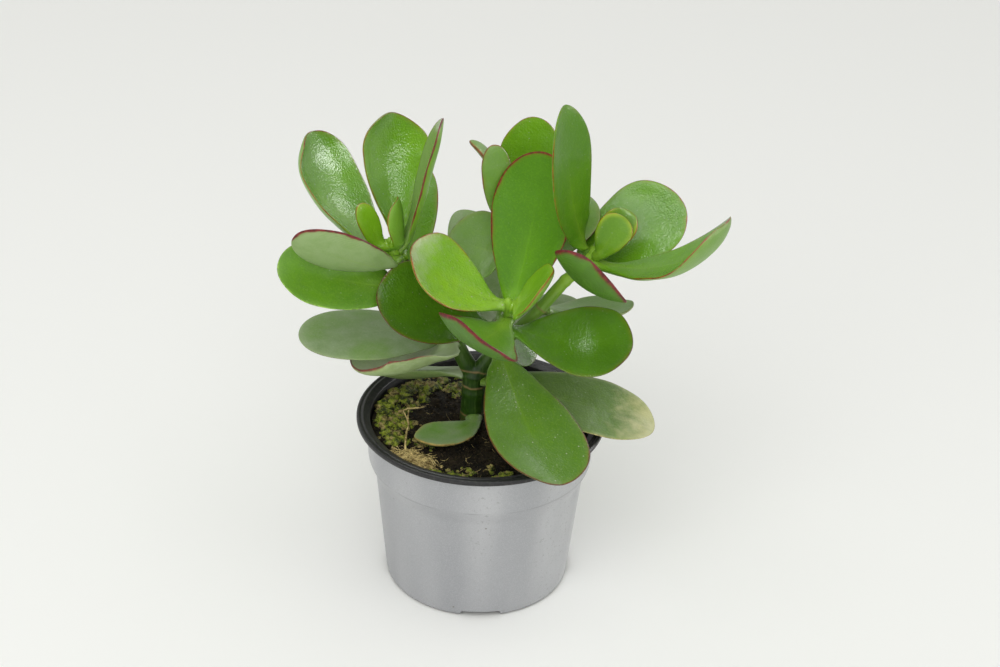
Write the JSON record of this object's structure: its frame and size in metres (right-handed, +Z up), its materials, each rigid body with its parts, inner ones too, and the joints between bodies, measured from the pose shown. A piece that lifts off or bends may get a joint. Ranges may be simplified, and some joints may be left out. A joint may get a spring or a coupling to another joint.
{
  "type": "potted jade plant",
  "caption": "Young jade plant with thick rounded glossy leaves on fleshy branching stems, growing in a round grey plastic nursery pot of dark mossy soil.",
  "frame": {"origin": "middle of the pot's underside, level with its foot ring", "axes": "+Z up along the pot's axis, -Y towards the viewer of the picture, +X to the viewer's right"},
  "size_m": [0.1802, 0.1286, 0.2183],
  "materials": {
    "pot": "satin silver-grey moulded plastic outside, black-grey rim and inside",
    "soil": "damp dark peat with patches of yellow-green moss and loose fibres",
    "stem": "smooth fleshy green stem with thin brown leaf-scar rings, yellow-green near the tips",
    "leaf": "smooth waxy fleshy leaf, glossy green above, paler beneath, thin red margin"
  },
  "bodies": {
    "root": {"pot": "pot", "soil": "soil", "stem": "stem", "leaf_trunk_low": "leaf", "leaf_trunk_right": "leaf", "leaf_trunk_left": "leaf", "leaf_left_1_front": "leaf", "leaf_left_1_back": "leaf", "leaf_left_2_front": "leaf", "leaf_left_2_back": "leaf", "leaf_left_3_front": "leaf", "leaf_left_3_back": "leaf", "leaf_left_4_left": "leaf", "leaf_left_4_right": "leaf", "leaf_left_5_left": "leaf", "leaf_left_5_right": "leaf", "leaf_front_1_front": "leaf", "leaf_front_1_back": "leaf", "leaf_front_2_left": "leaf", "leaf_front_2_right": "leaf", "leaf_front_3_front": "leaf", "leaf_front_3_back": "leaf", "leaf_front_4_left": "leaf", "leaf_front_4_right": "leaf", "leaf_right_1_right": "leaf", "leaf_right_3_front": "leaf", "leaf_right_3_back": "leaf", "leaf_right_4_left": "leaf", "leaf_right_4_right": "leaf", "leaf_right_5_front": "leaf", "leaf_right_5_back": "leaf", "leaf_back_1_left": "leaf", "leaf_back_1_right": "leaf", "leaf_back_2_left": "leaf", "leaf_back_2_right": "leaf", "leaf_back_3_front": "leaf", "leaf_back_3_back": "leaf", "leaf_back_4_left": "leaf", "leaf_back_4_right": "leaf"}
  },
  "joints": []
}
